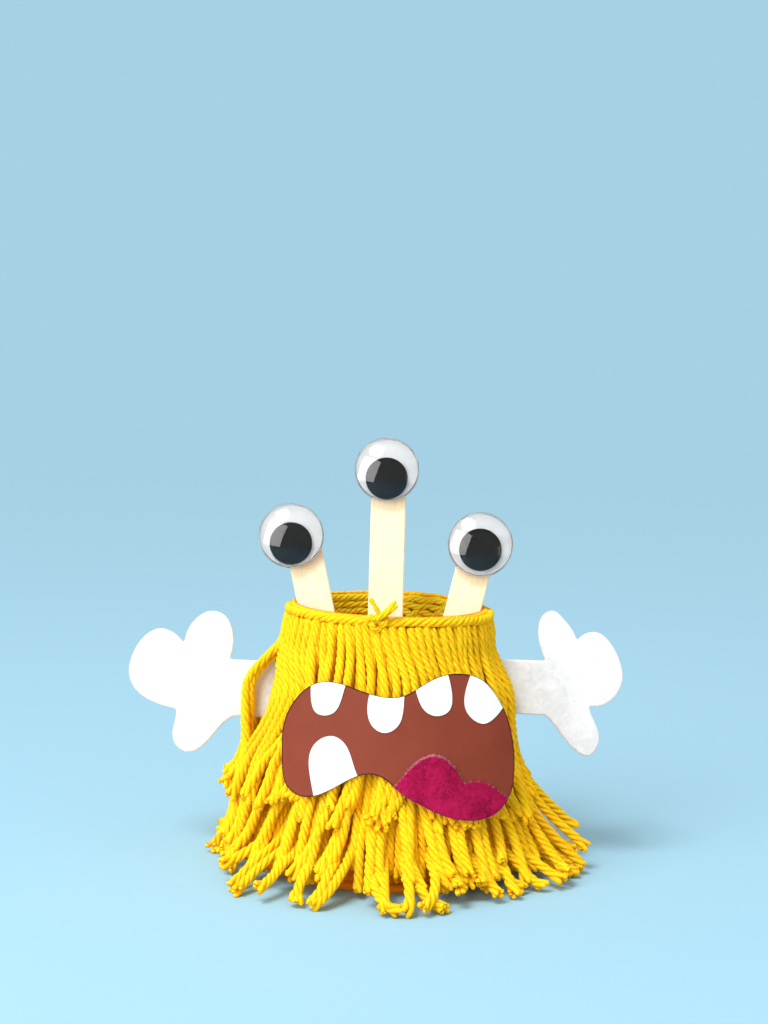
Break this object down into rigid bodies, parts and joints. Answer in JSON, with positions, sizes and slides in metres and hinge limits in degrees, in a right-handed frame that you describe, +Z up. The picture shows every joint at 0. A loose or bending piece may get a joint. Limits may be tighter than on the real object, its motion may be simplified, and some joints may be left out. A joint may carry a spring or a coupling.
{
  "type": "craft stick puppet",
  "caption": "Yarn monster puppet on an upside-down paper cup, with googly eyes on sliding craft sticks, a card mouth with teeth and a tongue, and flapping felt arms.",
  "frame": {"origin": "on the cup's axis, in the plane that the cup's mouth stands on", "axes": "+Z up along the cup's axis, the face looks towards -Y, and +X is across the puppet towards its arm on the viewer's right"},
  "size_m": [0.1415, 0.1173, 0.1203],
  "materials": {
    "cup_paper": "satin",
    "cup_base_paper": "satin",
    "yarn": "matte",
    "stick_wood": "matte",
    "eye_white": "satin",
    "eye_clear": "gloss",
    "pupil_black": "gloss",
    "glue": "gloss",
    "mouth_card": "matte",
    "tooth_paper": "matte",
    "tongue_felt": "matte",
    "arm_felt": "matte"
  },
  "bodies": {
    "cup": {"cup_wall": "cup_paper", "cup_base": "cup_base_paper", "header_cord": "yarn", "inner_yarn": "yarn", "fringe_long": "yarn", "fringe_short": "yarn", "mouth_card": "mouth_card", "tooth_upper_1": "tooth_paper", "tooth_upper_2": "tooth_paper", "tooth_upper_3": "tooth_paper", "tooth_upper_4": "tooth_paper", "tooth_lower": "tooth_paper", "tongue": "tongue_felt", "arm_root_left": "arm_felt", "arm_root_right": "arm_felt"},
    "eye_stick_left": {"stick_left": "stick_wood", "eye_glue_left": "glue", "eye_back_left": "eye_white", "eye_dome_left": "eye_clear"},
    "pupil_left": {"pupil_left": "pupil_black"},
    "eye_stick_center": {"stick_center": "stick_wood", "eye_glue_center": "glue", "eye_back_center": "eye_white", "eye_dome_center": "eye_clear"},
    "pupil_center": {"pupil_center": "pupil_black"},
    "eye_stick_right": {"stick_right": "stick_wood", "eye_glue_right": "glue", "eye_back_right": "eye_white", "eye_dome_right": "eye_clear"},
    "pupil_right": {"pupil_right": "pupil_black"},
    "arm_left": {"arm_left": "arm_felt"},
    "arm_right": {"arm_right": "arm_felt"}
  },
  "joints": [
    {"name": "stick_slide_left", "type": "slide", "parent": "cup", "child": "eye_stick_left", "axis": [-0.2419, 0.2347, 0.9415], "range_m": [-0.007, 0.012]},
    {"name": "pupil_swing_left", "type": "hinge", "parent": "eye_stick_left", "child": "pupil_left", "pos_m": [-0.02869, -0.00079, 0.09163], "axis": [0, -0.9703, 0.2419], "continuous": true},
    {"name": "stick_slide_center", "type": "slide", "parent": "cup", "child": "eye_stick_center", "axis": [-0.0105, 0.2419, 0.9702], "range_m": [-0.005, 0.04]},
    {"name": "pupil_swing_center", "type": "hinge", "parent": "eye_stick_center", "child": "pupil_center", "pos_m": [-0.0022, 0.00408, 0.11118], "axis": [0, -0.9703, 0.2419], "continuous": true},
    {"name": "stick_slide_right", "type": "slide", "parent": "cup", "child": "eye_stick_right", "axis": [0.2164, 0.2362, 0.9473], "range_m": [-0.007, 0.012]},
    {"name": "pupil_swing_right", "type": "hinge", "parent": "eye_stick_right", "child": "pupil_right", "pos_m": [0.02519, -0.00092, 0.09112], "axis": [0, -0.9703, 0.2419], "continuous": true},
    {"name": "arm_flap_left", "type": "hinge", "parent": "cup", "child": "arm_left", "pos_m": [-0.038, 0, 0.04715], "axis": [0, 0, 1], "range_deg": [-35, 35], "stiffness_Nm_per_rad": 0.0005},
    {"name": "arm_flap_right", "type": "hinge", "parent": "cup", "child": "arm_right", "pos_m": [0.038, 0, 0.05055], "axis": [0, 0, 1], "range_deg": [-35, 35], "stiffness_Nm_per_rad": 0.0005}
  ]
}
